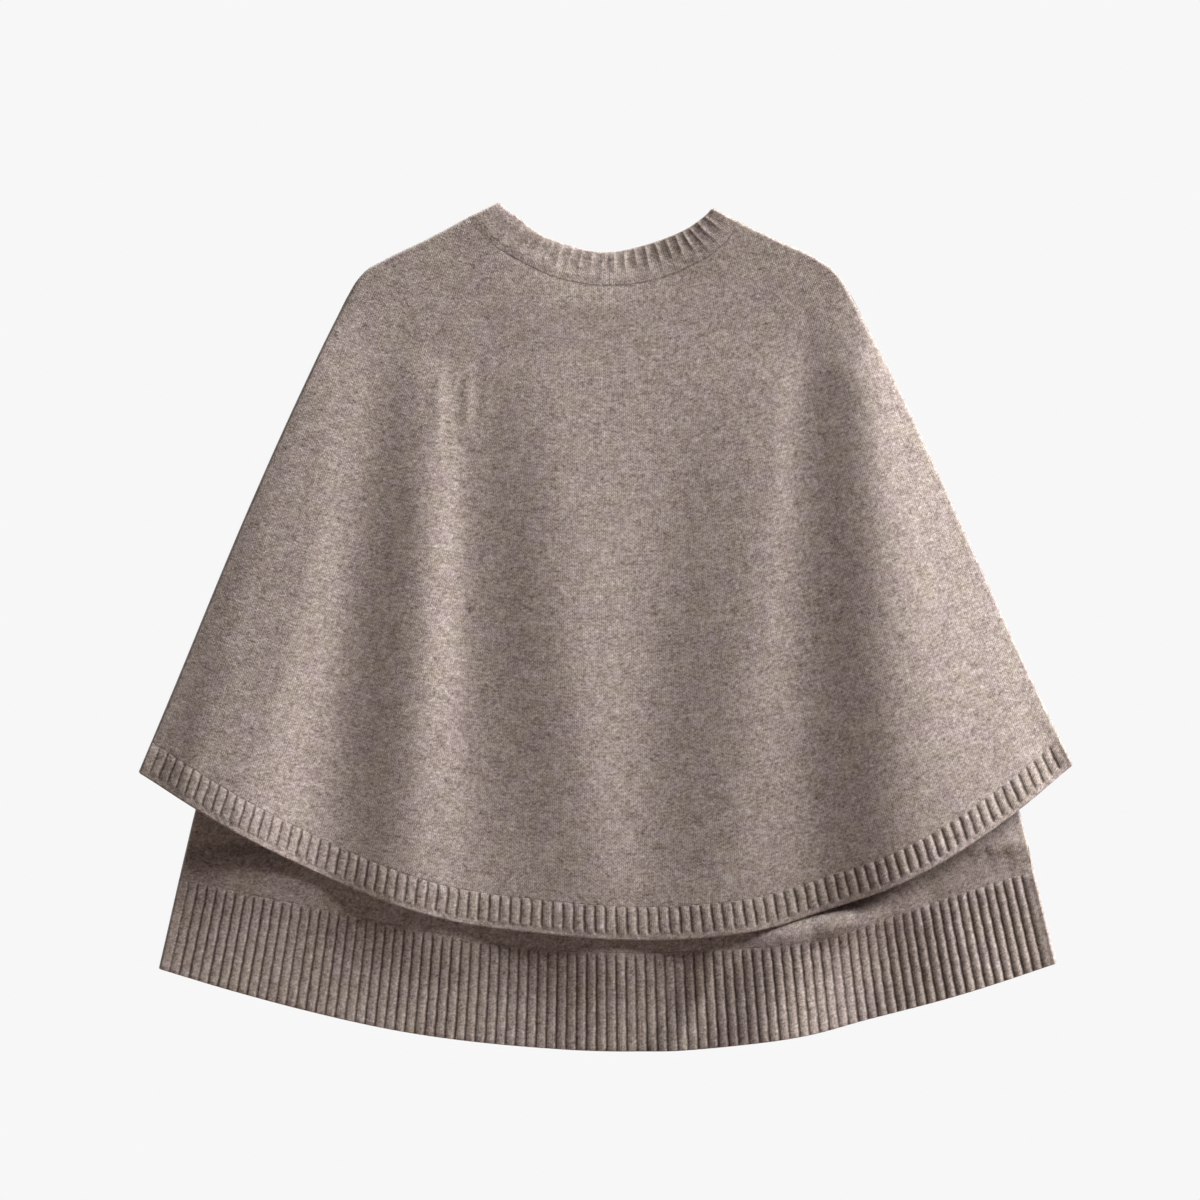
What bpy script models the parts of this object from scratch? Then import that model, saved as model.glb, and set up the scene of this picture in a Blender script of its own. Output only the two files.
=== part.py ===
"""A knitted poncho sweater laid flat on its front, with its back up and its neck towards +Y.

Two flattened tubes lie one inside the other and hang from one ribbed neckband: an outer cape with a
narrow ribbed hem, and a longer inner body with a wide one. Each tube has a near wall (the back, on
top) and a far wall (the front, on the floor), which meet in a rounded fold down each side. The walls
are worked out from the outlines, levels and folds below, all in millimetres, and are scaled to
metres when their meshes are made. The origin is the middle of the outline, on the floor.
"""
from collections import namedtuple

import bmesh
import bpy
import numpy as np

for old in list(bpy.data.objects):
    bpy.data.objects.remove(old, do_unlink=True)

MM = 0.001                   # metres in a millimetre

# Cloth
WALL = 2.5                   # plain knit
SEAM = 0.3                   # gap between two pieces that are linked together
BODY_SEAM = 1.2              # the same under the neckband, where the body's edge is tucked in
RIB_DEPTH = 0.9              # from a rib's crest down to the groove beside it
RIB_RISE = 0.5               # how far the crests stand above the plain knit
RIB_CREST = 0.62             # share of a rib's width that its flat crest takes
NECK_HOLLOW = 1.0            # depth of the hollows between the neckband's narrow ridges
NECK_EDGE_DROP = 1.2         # how much the neckband's top edge rounds down
BAND_WALL = 5.2              # the neckband is knitted double
FOLD_REACH = 2.4             # how far in from a side fold the cloth is rounded

# Levels of the lower face of each wall, from the floor up
BODY_FRONT_LEVEL = 2.8       # where it lies on the cape's front; it drops to the floor past that hem
BODY_LOFT = 4.3              # from the body front's lower face to the body back's
CAPE_BACK_LEVEL = 10.8       # where it lies on the body
CAPE_SIDE_LEVEL = 5.5        # beside the body, where it lies on the cape's front
CAPE_SETTLE_START = 2.0      # how far inside the body's fold the cape starts to come down beside it
CAPE_SETTLE_END = 45.0       # and how far outside the fold it ends
HEM_CLEARANCE = 12.0         # from the cape's hem to where the body starts to come down to the floor
BODY_STEP = 42.0             # length over which it does so

# Ribbed bands
CAPE_RIBS = 94               # on one wall, from fold to fold
BODY_RIBS = 90
NECK_RIBS = 24
FRONT_NECK_DROP = 50.0       # how much lower the front neckline is than the back one
FRONT_NECK_ROUND = 1.5       # power that rounds its curve off towards its ends

# The back neckline has only the floor under it, and sinks towards it
NECK_SAG = 6.0
SAG_HALF_WIDTH = 95.0
SAG_START_Y = 245.0
SAG_END_Y = 300.0

Point = namedtuple("Point", "x y")
NeckSection = namedtuple("NeckSection", "seam_x seam_y edge_x edge_y")
Fold = namedtuple("Fold", "upper_x middle_x lower_x upper_height middle_height lower_height")
BandRow = namedtuple("BandRow", "at ribbed")
PanelRows = namedtuple("PanelRows", "by_neck stretches")

# Where each tube's wales would meet if they were drawn on upwards
CAPE_APEX = Point(5, 692)
BODY_APEX = Point(2, 1190)

# The fold from the neckband out along the shoulder, and from there down the side to the hem
CAPE_LEFT_SHOULDER = [Point(-107, 319), Point(-140, 301.5), Point(-172, 286), Point(-186, 278),
                      Point(-194.5, 268.5), Point(-203, 253)]
CAPE_LEFT_SIDE = [Point(-240, 177), Point(-275, 99), Point(-340, -57), Point(-363.5, -113)]
CAPE_RIGHT_SHOULDER = [Point(103, 315.5), Point(132, 301.5), Point(165, 286), Point(177, 277.5),
                       Point(184.5, 268.5), Point(193, 253)]
CAPE_RIGHT_SIDE = [Point(232, 177), Point(268, 99), Point(339, -57), Point(363.5, -107)]
CAPE_HEM = [Point(-363.5, -113), Point(-299, -152), Point(-247, -180), Point(-195, -204),
            Point(-122, -228), Point(-50, -238), Point(16, -243), Point(76, -241),
            Point(124, -234), Point(168, -220), Point(228, -198), Point(285, -166),
            Point(322, -140), Point(363.5, -107)]

BODY_LEFT_SHOULDER = [Point(-102, 309.5), Point(-136, 292.5), Point(-167, 279),
                      Point(-179, 271.5), Point(-186.5, 263.5), Point(-193, 253)]
BODY_LEFT_SIDE = [Point(-239, 138), Point(-285, -10), Point(-319, -140), Point(-348.5, -266.5)]
BODY_RIGHT_SHOULDER = [Point(98.5, 306), Point(128, 292), Point(160, 279),
                       Point(169.5, 271.5), Point(176.5, 263.5), Point(183, 253)]
BODY_RIGHT_SIDE = [Point(233, 138), Point(285, -10), Point(321, -140), Point(351, -262)]
BODY_HEM = [Point(-348.5, -266.5), Point(-292, -283.5), Point(-234, -299), Point(-161, -315),
            Point(-51, -328), Point(3, -330.5), Point(58, -329), Point(113, -323),
            Point(168, -315), Point(200, -307), Point(260, -291), Point(309, -276),
            Point(351, -262)]

# Heights of the hem bands, by how far across they are, from 0 at the left fold to 100 at the right
CAPE_BAND = [(0, 26), (30, 26), (60, 26), (80, 24.5), (100, 23.5)]
BODY_BAND = [(0, 73.5), (10, 77.5), (20, 82), (30, 80.5), (40, 78), (50, 77.5), (60, 76.5),
             (70, 72.5), (80, 74), (90, 76), (100, 75)]

# The back of the neckband, from its left fold to its right one
NECK_BACK = [NeckSection(-107, 319, -83, 330.5), NeckSection(-101.5, 308.5, -77.5, 324.5),
             NeckSection(-90, 298, -70, 319.5), NeckSection(-67, 284, -52, 306),
             NeckSection(-38, 271, -29.5, 297), NeckSection(0, 265, 1, 291.5),
             NeckSection(34, 268.5, 28, 296.5), NeckSection(64, 279.5, 53, 305),
             NeckSection(86.5, 292.5, 67.5, 312.5), NeckSection(97.5, 304.5, 77.5, 320),
             NeckSection(103, 315.5, 83, 326)]

# Crests and troughs of the near walls, from left to right: where each is at three heights of the
# garment, and how high it stands there. Between two neighbours the height follows a smooth step.
CAPE_FOLDS_Y = (215.0, 20.0, -175.0)
CAPE_FOLDS_START_Y = 260.0   # where they begin, and the length over which they grow from nothing
CAPE_FOLDS_RISE = 70.0
CAPE_FOLDS = [Fold(-230, -318, -410, 3.5, 6.5, 9), Fold(-226, -241, -302, 3.5, 8, 18.5),
              Fold(-170, -200, -213, 0, 2, 3.5), Fold(-141, -142, -156, 0.5, 10, 10),
              Fold(-104, -106, -100, 0, 3, 5), Fold(-40, -32, -8, 1, 10.5, 10.5),
              Fold(57, 35, 27, 1.5, 6.5, 9), Fold(135, 119, 104, 2, 13.5, 15),
              Fold(152, 146, 150, 1, 11.5, 13.5), Fold(195, 215, 233, 7, 21.5, 25),
              Fold(225, 308, 397, 0, 2, 7.5)]
BODY_FOLDS_Y = (-200.0, -260.0, -320.0)
BODY_FOLDS_START_Y = -130.0
BODY_FOLDS_RISE = 60.0
BODY_FOLDS = [Fold(-335, -343, -352, 4, 0, 0), Fold(-292, -295, -268, 6, 0, 0),
              Fold(-210, -212, -188, 2.5, 0, 0), Fold(-145, -124, -115, 8, 3, 0),
              Fold(-63, -62, -64, 3, 0, 0), Fold(12, 11, -7, 8, 8, 3.5),
              Fold(67, 60, 29, 10, 5, 3.5), Fold(95, 87, 62, 11, 10, 11.5),
              Fold(208, 151, 122, 7, 19.5, 20.5), Fold(235, 219, 202, 5, 0, 0),
              Fold(252, 280, 290, 4, 3.5, 8), Fold(335, 345, 352, 2, 2, 4)]

# Columns of the meshes
LINE_STEPS = 12              # points that a smooth line has between two rows of its table
FOLD_ANGLES = (0, 32, 60, 90)  # where a rounded fold has its columns, in degrees round from the seam
CAPE_BACK_COLUMNS = (6, 32, 6)  # on the left shoulder, along the neck and on the right shoulder
CAPE_FRONT_COLUMNS = (6, 14, 6)
BODY_BACK_COLUMNS = (5, 26, 5)
BODY_FRONT_COLUMNS = (5, 14, 5)
BACK_CROWDING = 0.5          # how much closer those along the neck lie at its ends
FRONT_CROWDING = 1.0

# Rows of a panel, in shares of its length: the first ones, and then where each evenly divided
# stretch ends and how many rows it has
CAPE_BACK_ROWS = PanelRows((0, 0.003, 0.011, 0.022), [(1, 13)])
CAPE_FRONT_ROWS = PanelRows((0, 0.003, 0.011, 0.022), [(1, 5)])
BODY_ROWS = PanelRows((0, 0.003, 0.012), [(0.8, 5), (1, 4)])

# Rows of a band, in shares of its height, and how fully its ribs stand out there. The cape's band
# ends in a plain edge.
CAPE_BAND_ROWS = [BandRow(0, 1), BandRow(0.8, 1), BandRow(1, 0)]
BODY_BAND_ROWS = [BandRow(0, 1), BandRow(0.5, 1), BandRow(1, 1)]
NECKBAND_ROWS = [BandRow(0, 0), BandRow(0.3, 0.1), BandRow(0.65, 1), BandRow(0.9, 0.9),
                 BandRow(1, 0.5)]
NECKBAND_FRONT_ROWS = (0, 0.5, 1)

CAPE_COLOUR = (0.30, 0.24, 0.21, 1)
BODY_COLOUR = (0.26, 0.21, 0.185, 1)
RIB_COLOUR = (0.28, 0.225, 0.20, 1)
ROUGHNESS = 0.95

garment = bpy.data.collections.new("knitted_poncho_sweater")
bpy.context.scene.collection.children.link(garment)


# ---- Lines and curves -------------------------------------------------------------------------------

def smooth_line(rows):
    """Points of the smooth curve through the rows of a table, as one array of two or more columns."""
    rows = np.array(rows, float)
    lengths = np.hypot(*np.diff(rows[:, :2], axis=0).T)
    at = np.concatenate([[0], np.cumsum(lengths)])
    slopes = np.gradient(rows, at, axis=0)
    points = []
    for i, length in enumerate(lengths):
        t = np.linspace(0, 1, LINE_STEPS, endpoint=False)[:, None]
        points.append(rows[i] * (1 + 2 * t) * (1 - t) ** 2 + rows[i + 1] * t * t * (3 - 2 * t)
                      + slopes[i] * length * t * (1 - t) ** 2
                      + slopes[i + 1] * length * t * t * (t - 1))
    return np.vstack(points + [rows[-1:]])


def ease(t):
    """A smooth step from 0 to 1."""
    t = np.clip(t, 0, 1)
    return t * t * (3 - 2 * t)


def to_polar(points, apex):
    """Angle to the right of straight down, and distance, of points seen from an apex."""
    x, y = points[..., 0] - apex.x, apex.y - points[..., 1]
    return np.arctan2(x, y), np.hypot(x, y)


def from_polar(angle, radius, apex):
    return apex.x + radius * np.sin(angle), apex.y - radius * np.cos(angle)


def neck_line(drop):
    """The neckband's sections, closely spaced, for a neckline lowered by drop in its middle."""
    line = smooth_line(NECK_BACK)
    share = np.linspace(0, 1, len(line))
    lower = drop * np.sin(np.pi * share) ** FRONT_NECK_ROUND
    line[:, 1] -= lower
    line[:, 3] -= lower
    return line


class Tube:
    """The outline of one flattened tube in polar form: its folds, its top edges and its hem."""

    def __init__(self, apex, left_shoulder, left_side, right_shoulder, right_side, hem, band, seam):
        self.apex = apex
        self.seam = seam
        left = smooth_line(left_shoulder + left_side)
        right = smooth_line(right_shoulder + right_side)
        corner = (len(left_shoulder) - 1) * LINE_STEPS
        self.shoulders = left[:corner + 1][::-1], right[:corner + 1]
        self.sides = [to_polar(line[corner:], apex) for line in (left, right)]
        self.hem = to_polar(smooth_line(hem), apex)
        self.band = smooth_line(band).T
        self.folds = left, right

    def top(self, neck):
        """Angles and radii of the top edge, from corner to corner, with the given neckline."""
        left, right = self.shoulders
        first = np.argmin(np.hypot(neck[:, 0] - left[-1, 0], neck[:, 1] - left[-1, 1]))
        last = np.argmin(np.hypot(neck[:, 0] - right[0, 0], neck[:, 1] - right[0, 1]))
        upwards = neck[:, 2:] - neck[:, :2]
        seam = neck[:, :2] - self.seam * upwards / np.hypot(*upwards.T)[:, None]
        line = np.vstack([left[:-1], seam[first:last + 1], right[1:]])
        return to_polar(line, self.apex), to_polar(seam[[first, last]], self.apex)[0]

    def side_angles(self, radius):
        (left_angle, left_radius), (right_angle, right_radius) = self.sides
        return (np.interp(radius, left_radius, left_angle),
                np.interp(radius, right_radius, right_angle))

    def hem_radius(self, angle):
        return np.interp(angle, *self.hem)

    def band_height(self, share):
        return np.interp(100 * share, *self.band)

    def inside(self, x, y):
        """How far points are inside the nearer side fold, and negative outside it."""
        angle, radius = to_polar(np.stack([x, y], -1), self.apex)
        left, right = self.side_angles(radius)
        return np.minimum(angle - left, right - angle) * radius


CAPE = Tube(CAPE_APEX, CAPE_LEFT_SHOULDER, CAPE_LEFT_SIDE, CAPE_RIGHT_SHOULDER, CAPE_RIGHT_SIDE,
            CAPE_HEM, CAPE_BAND, SEAM)
BODY = Tube(BODY_APEX, BODY_LEFT_SHOULDER, BODY_LEFT_SIDE, BODY_RIGHT_SHOULDER, BODY_RIGHT_SIDE,
            BODY_HEM, BODY_BAND, BODY_SEAM)
NECK_FOLDS = [np.vstack([[edge_x, edge_y], line]) for (edge_x, edge_y), line in (
    (NECK_BACK[0][2:], CAPE.folds[0]), (NECK_BACK[-1][2:], CAPE.folds[1]))]
BACK_NECK = neck_line(0)
FRONT_NECK = neck_line(FRONT_NECK_DROP)


# ---- Levels -----------------------------------------------------------------------------------------

def through(upper, middle, lower, share):
    """The value at a share of the way down of the parabola through three evenly spaced values."""
    return (upper * (1 - share) * (1 - 2 * share) + middle * 4 * share * (1 - share)
            + lower * share * (2 * share - 1))


def fold_height(x, y, folds, stations, start_y, rise):
    """Height that the folds in a table add at points of a near wall."""
    upper_y, _, lower_y = stations
    share = (upper_y - y) / (upper_y - lower_y)
    lines = [(through(*fold[:3], share), through(*fold[3:], np.clip(share, 0, None)))
             for fold in folds]
    height = lines[0][1]
    for (left_x, left), (right_x, right) in zip(lines, lines[1:]):
        height = height + (right - left) * ease((x - left_x) / (right_x - left_x))
    return height * ease((start_y - y) / rise)


def neck_sag(x, y):
    across = np.cos(np.pi / 2 * np.clip(x / SAG_HALF_WIDTH, -1, 1)) ** 2
    return NECK_SAG * across * ease((y - SAG_START_Y) / (SAG_END_Y - SAG_START_Y))


def cape_bottom(x, y):
    """Lower face of the cape's front, which lies on the floor."""
    return np.zeros_like(x)


def cape_top(x, y):
    """Upper face of the cape's back."""
    over_body = ease((BODY.inside(x, y) + CAPE_SETTLE_END) / (CAPE_SETTLE_END - CAPE_SETTLE_START))
    level = CAPE_SIDE_LEVEL + (CAPE_BACK_LEVEL - CAPE_SIDE_LEVEL) * over_body
    folds = fold_height(x, y, CAPE_FOLDS, CAPE_FOLDS_Y, CAPE_FOLDS_START_Y, CAPE_FOLDS_RISE)
    return level + folds - neck_sag(x, y) + WALL


def body_bottom(x, y):
    """Lower face of the body's front: on the cape's front, and down to the floor past that hem."""
    angle, radius = to_polar(np.stack([x, y], -1), CAPE.apex)
    past = radius - CAPE.hem_radius(angle) - HEM_CLEARANCE
    return BODY_FRONT_LEVEL * (1 - ease(past / BODY_STEP))


def body_top(x, y):
    """Upper face of the body's back."""
    folds = fold_height(x, y, BODY_FOLDS, BODY_FOLDS_Y, BODY_FOLDS_START_Y, BODY_FOLDS_RISE)
    return body_bottom(x, y) + BODY_LOFT + folds - neck_sag(x, y) + WALL


# ---- Walls ------------------------------------------------------------------------------------------

def nearest_fold(x, y, fold_lines):
    """Distance from points to the nearer fold, and the direction from it into the tube.

    The folds go straight on past their lower ends.
    """
    points = np.stack([x, y], -1)[..., None, :]
    distances, directions = [], []
    for line, turn in zip(fold_lines, (1, -1)):
        beyond = line[-1] + (line[-1] - line[-2]) * LINE_STEPS
        line = np.vstack([line, beyond])
        step = np.diff(line, axis=0)
        length = np.hypot(*step.T)
        share = ((points - line[:-1]) * step).sum(-1) / length ** 2
        foot = line[:-1] + np.clip(share, 0, 1)[..., None] * step
        distance = np.hypot(*np.moveaxis(points - foot, -1, 0))
        inward = turn * np.stack([-step[:, 1], step[:, 0]], -1) / length[:, None]
        distances.append(distance.min(-1))
        directions.append(inward[distance.argmin(-1)])
    is_left = distances[0] < distances[1]
    return np.minimum(*distances), np.where(is_left[..., None], *directions)


def wall_points(x, y, near, top, bottom, wall, fold_lines, let_in=0.0):
    """Outer and inner points of a near or a far wall, rounded towards its other half at the folds.

    top is the near wall's upper face and bottom the far wall's lower one, so that the fold between
    them is half an oval. let_in is how far the outer points are let into the wall.
    """
    distance, inward = nearest_fold(x, y, fold_lines)
    radius = (top - bottom) / 2
    middle = (top + bottom) / 2
    cosine = np.clip(1 - distance / FOLD_REACH, 0, 1)
    sine = np.sqrt(1 - cosine ** 2)
    sign = 1 if near else -1
    outer_rise = np.maximum((radius - let_in) * sine, SEAM / 2)
    inner_rise = np.maximum((radius - wall) * sine, SEAM / 2)
    outer = np.stack([x, y, middle + sign * outer_rise], -1)
    shift = (min(wall, FOLD_REACH) * cosine)[..., None] * inward
    inner = np.stack([x + shift[..., 0], y + shift[..., 1], middle + sign * inner_rise], -1)
    return outer, inner


def wool(name, colour):
    """The matt knitted wool of one piece."""
    made = bpy.data.materials.new(name)
    made.use_nodes = True
    shader = made.node_tree.nodes["Principled BSDF"]
    shader.inputs["Base Color"].default_value = colour
    shader.inputs["Roughness"].default_value = ROUGHNESS
    shader.inputs["Metallic"].default_value = 0.0
    return made


def add_wall(name, outer, inner, colour):
    """One closed solid between a grid of outer points and a grid of inner ones."""
    rows, columns = outer.shape[0] - 1, outer.shape[1] - 1
    cloth = bmesh.new()
    bmesh.ops.create_grid(cloth, x_segments=columns, y_segments=rows, size=0.5)
    skin = bmesh.ops.extrude_face_region(cloth, geom=cloth.faces[:])["geom"]
    raised = {vertex for vertex in skin if isinstance(vertex, bmesh.types.BMVert)}
    for vertex in cloth.verts:
        row = round((vertex.co.y + 0.5) * rows)
        column = round((vertex.co.x + 0.5) * columns)
        point = (outer if vertex in raised else inner)[row, column]
        vertex.co = point * MM
    bmesh.ops.recalc_face_normals(cloth, faces=cloth.faces[:])
    if cloth.calc_volume(signed=True) < 0:
        bmesh.ops.reverse_faces(cloth, faces=cloth.faces[:])
    mesh = bpy.data.meshes.new(name)
    cloth.to_mesh(mesh)
    cloth.free()
    mesh.shade_smooth()
    mesh.materials.append(wool(name + "_wool", colour))
    garment.objects.link(bpy.data.objects.new(name, mesh))


# ---- Columns and rows of a wall's grid --------------------------------------------------------------

def fold_offsets():
    """Distances from a fold of the columns that round it."""
    return FOLD_REACH * (1 - np.cos(np.radians(FOLD_ANGLES)))


def crowded(count, crowding):
    """Shares from 0 to 1 that lie closer together at both ends, the more so the higher crowding."""
    even = np.linspace(0, 1, count + 1)
    return even * (1 - crowding) + (1 - np.cos(np.pi * even)) / 2 * crowding


def neck_shares(tube, neck):
    """Shares of a panel's width at which its neckline begins and ends."""
    _, ends = tube.top(neck)
    left, right = (side[0][0] for side in tube.sides)
    return (ends - left) / (right - left)


def plain_columns(neck_ends, counts, crowding):
    """Shares of the width, and offsets from it, of a plain wall's columns.

    neck_ends holds the shares at which the neckline begins and ends.
    """
    start, end = neck_ends
    left, middle, right = counts
    inner = np.concatenate([np.linspace(0, start, left + 1)[1:-1],
                            start + (end - start) * crowded(middle, crowding),
                            np.linspace(end, 1, right + 1)[1:-1]])
    offsets = fold_offsets()
    share = np.concatenate([np.zeros(len(offsets)), inner, np.ones(len(offsets))])
    offset = np.concatenate([offsets, np.zeros(len(inner)), -offsets[::-1]])
    return share, offset


def rib_columns(count):
    """The same for a ribbed band, and 1 where a column is the bottom of a groove."""
    places = np.array([0, RIB_CREST, (1 + RIB_CREST) / 2])
    share = np.append(np.arange(count)[:, None] + places, count) / count
    groove = np.append(np.tile([0.0, 0.0, 1.0], count), 0.0)
    offsets = fold_offsets()
    offset = offsets[-1] * (1 - 2 * share)
    ends = len(offsets) - 1
    share = np.concatenate([np.zeros(ends), share, np.ones(ends)])
    offset = np.concatenate([offsets[:-1], offset, -offsets[:-1][::-1]])
    return share, offset, np.pad(groove, ends)


def tube_grid(tube, top_line, columns, rows):
    """x and y of a grid on a tube. A row is a share of the way from the top edge down to the hem,
    and back up from there a share of the hem band's height and a distance."""
    share, offset = columns
    left_top, right_top = (side[0][0] for side in tube.sides)
    left_hem, right_hem = (side[0][-1] for side in tube.sides)
    xs, ys = [], []
    for down, up, gap in rows:
        at = [radius[0] + (radius[-1] - radius[0]) * down - up * tube.band_height(side) - gap
              for side, (_, radius) in enumerate(tube.sides)]
        left, right = tube.side_angles(at[0])[0], tube.side_angles(at[1])[1]
        across = share + offset / (sum(at) / 2) / (right - left)
        start = np.interp(left_top + (right_top - left_top) * across, *top_line)
        end = tube.hem_radius(left_hem + (right_hem - left_hem) * across)
        radius = start + (end - start) * down - up * tube.band_height(across) - gap
        x, y = from_polar(left + (right - left) * across, radius, tube.apex)
        xs.append(x)
        ys.append(y)
    return np.array(xs), np.array(ys)


def neck_grid(neck, along, at, rows):
    """x and y of a grid on the neckband, a row being a share of the way from the seam up.

    along says where the neckline's points are, and at where the columns are.
    """
    seam_x, seam_y, edge_x, edge_y = (np.interp(at, along, neck[:, i]) for i in range(4))
    return (np.array([seam_x + (edge_x - seam_x) * row for row in rows]),
            np.array([seam_y + (edge_y - seam_y) * row for row in rows]))


# ---- Pieces -----------------------------------------------------------------------------------------

def panel(name, tube, neck, counts, rows, near, top, bottom, fold_lines, colour):
    """A plain wall, which ends a seam's width above its hem band."""
    stops = list(rows.by_neck)
    for end, count in rows.stretches:
        stops.extend(np.linspace(stops[-1], end, count + 1)[1:])
    top_line, _ = tube.top(neck)
    crowding = BACK_CROWDING if near else FRONT_CROWDING
    columns = plain_columns(neck_shares(tube, neck), counts, crowding)
    x, y = tube_grid(tube, top_line, columns, [(down, down, down * SEAM) for down in stops])
    add_wall(name, *wall_points(x, y, near, top(x, y), bottom(x, y), WALL, fold_lines), colour)


def band_grid(tube, neck, columns, rows):
    top_line, _ = tube.top(neck)
    return tube_grid(tube, top_line, columns, [(1, 1 - row.at, 0) for row in rows])


def near_band(name, tube, ribs, rows, top, bottom, fold_lines):
    """The ribbed band on a near wall, whose crests stand a little proud of the panel."""
    share, offset, groove = rib_columns(ribs)
    x, y = band_grid(tube, BACK_NECK, (share, offset), rows)
    ribbed = np.array([row.ribbed for row in rows])
    let_in = np.outer(ribbed, groove * RIB_DEPTH) + RIB_RISE * (1 - ribbed)[:, None]
    add_wall(name, *wall_points(x, y, True, top(x, y) + RIB_RISE, bottom(x, y), WALL + RIB_RISE,
                                fold_lines, let_in), RIB_COLOUR)


def far_band(name, tube, counts, rows, top, bottom, fold_lines):
    """The band on a far wall, plain because it lies flat on the floor."""
    columns = plain_columns(neck_shares(tube, FRONT_NECK), counts, FRONT_CROWDING)
    x, y = band_grid(tube, FRONT_NECK, columns, rows)
    add_wall(name, *wall_points(x, y, False, top(x, y) + RIB_RISE, bottom(x, y), WALL, fold_lines),
             RIB_COLOUR)


def neckband_back():
    """The near half of the neckband, with narrow ridges between wide hollows."""
    share, offset, groove = rib_columns(NECK_RIBS)
    along = np.concatenate([[0], np.cumsum(np.hypot(*np.diff(BACK_NECK[:, :2], axis=0).T))])
    rows = [row.at for row in NECKBAND_ROWS]
    x, y = neck_grid(BACK_NECK, along, share * along[-1] + offset, rows)
    hollow = np.where((share > 0) & (share < 1), 1 - groove, 0) * NECK_HOLLOW
    let_in = np.outer([row.ribbed for row in NECKBAND_ROWS], hollow)
    let_in[-1] += NECK_EDGE_DROP
    add_wall("neckband_back", *wall_points(x, y, True, cape_top(x, y) + RIB_RISE, cape_bottom(x, y),
                                           BAND_WALL, NECK_FOLDS, let_in), RIB_COLOUR)


def neckband_front():
    """Its columns are those of the cape's front, so that the seam's two edges stay parallel."""
    angle, _ = to_polar(FRONT_NECK[:, :2], CAPE.apex)
    at = angle[0] + (angle[-1] - angle[0]) * crowded(CAPE_FRONT_COLUMNS[1], FRONT_CROWDING)
    x, y = neck_grid(FRONT_NECK, angle, at, NECKBAND_FRONT_ROWS)
    add_wall("neckband_front", *wall_points(x, y, False, cape_top(x, y) + RIB_RISE,
                                            cape_bottom(x, y), BAND_WALL, NECK_FOLDS), RIB_COLOUR)


def cape():
    levels = cape_top, cape_bottom, NECK_FOLDS
    panel("cape_back", CAPE, BACK_NECK, CAPE_BACK_COLUMNS, CAPE_BACK_ROWS, True, *levels, CAPE_COLOUR)
    panel("cape_front", CAPE, FRONT_NECK, CAPE_FRONT_COLUMNS, CAPE_FRONT_ROWS, False, *levels,
          CAPE_COLOUR)
    near_band("cape_back_hem", CAPE, CAPE_RIBS, CAPE_BAND_ROWS, *levels)
    far_band("cape_front_hem", CAPE, CAPE_FRONT_COLUMNS, CAPE_BAND_ROWS, *levels)


def body():
    levels = body_top, body_bottom, BODY.folds
    panel("body_back", BODY, BACK_NECK, BODY_BACK_COLUMNS, BODY_ROWS, True, *levels, BODY_COLOUR)
    panel("body_front", BODY, FRONT_NECK, BODY_FRONT_COLUMNS, BODY_ROWS, False, *levels, BODY_COLOUR)
    near_band("body_back_hem", BODY, BODY_RIBS, BODY_BAND_ROWS, *levels)
    far_band("body_front_hem", BODY, BODY_FRONT_COLUMNS, BODY_BAND_ROWS, *levels)


cape()
body()
neckband_back()
neckband_front()
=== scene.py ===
"""The looks of a knitted poncho sweater that lies flat on its front.

Each wall of the garment is made again as a fine closed shell on the form of its solid: the same
outlines, levels and folds, in millimetres, with rounded ribs, soft creases and rounded edges. The
wool is a procedural knit that follows coordinates stored in each mesh. On plain walls they are
the direction and distance from where the wales would meet, and on ribs the wale and the course.
A third one, the mark, is above 0 where shade is painted into grooves, hollows and seams, and below
0 where light is painted along the folds.
"""
import math
from collections import namedtuple

import bpy
import numpy as np
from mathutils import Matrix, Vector


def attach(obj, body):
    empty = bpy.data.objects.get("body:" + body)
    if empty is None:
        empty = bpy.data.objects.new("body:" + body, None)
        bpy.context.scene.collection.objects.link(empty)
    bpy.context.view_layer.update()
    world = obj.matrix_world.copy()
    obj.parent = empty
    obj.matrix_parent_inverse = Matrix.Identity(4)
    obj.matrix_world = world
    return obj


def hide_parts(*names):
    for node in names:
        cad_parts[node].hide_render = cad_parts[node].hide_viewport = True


MM = 0.001                   # metres in a millimetre

Point = namedtuple("Point", "x y")
NeckSection = namedtuple("NeckSection", "seam_x seam_y edge_x edge_y")
Fold = namedtuple("Fold", "upper_x middle_x lower_x upper_height middle_height lower_height")
Crease = namedtuple("Crease", "x1 y1 x2 y2 height width")
Ribs = namedtuple("Ribs", "count depth start plain_strip")
Layer = namedtuple("Layer", "tube top bottom folds ribs")
Sheet = namedtuple("Sheet", "slot width length area rests_on")
Noise = namedtuple("Noise", "scale strength")
Specks = namedtuple("Specks", "start full tone")


# ---- Sizes of the solids, in millimetres ---------------------------------------------------------

# Cloth
WALL = 2.5                   # plain knit
BODY_SEAM = 1.2              # gap under the neckband, where the body's edge is tucked in
RIB_RISE = 0.5               # how far the ribs' crests stand above the plain knit
BAND_WALL = 5.2              # the neckband is knitted double

# Levels of the lower face of each wall, from the floor up
BODY_FRONT_LEVEL = 2.8       # on the cape's front, past whose hem it comes down to the floor
BODY_LOFT = 4.3              # from the body front's lower face to the body back's
CAPE_BACK_LEVEL = 10.8       # where it lies on the body
CAPE_SIDE_LEVEL = 5.5        # beside the body, where it lies on the cape's front
CAPE_SETTLE_START = 2.0      # how far inside the body's fold the cape starts to come down beside it
CAPE_SETTLE_END = 45.0       # and how far outside the fold it ends
HEM_CLEARANCE = 12.0         # from the cape's hem to where the body starts to come down
BODY_STEP = 42.0             # length over which it does so

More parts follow.
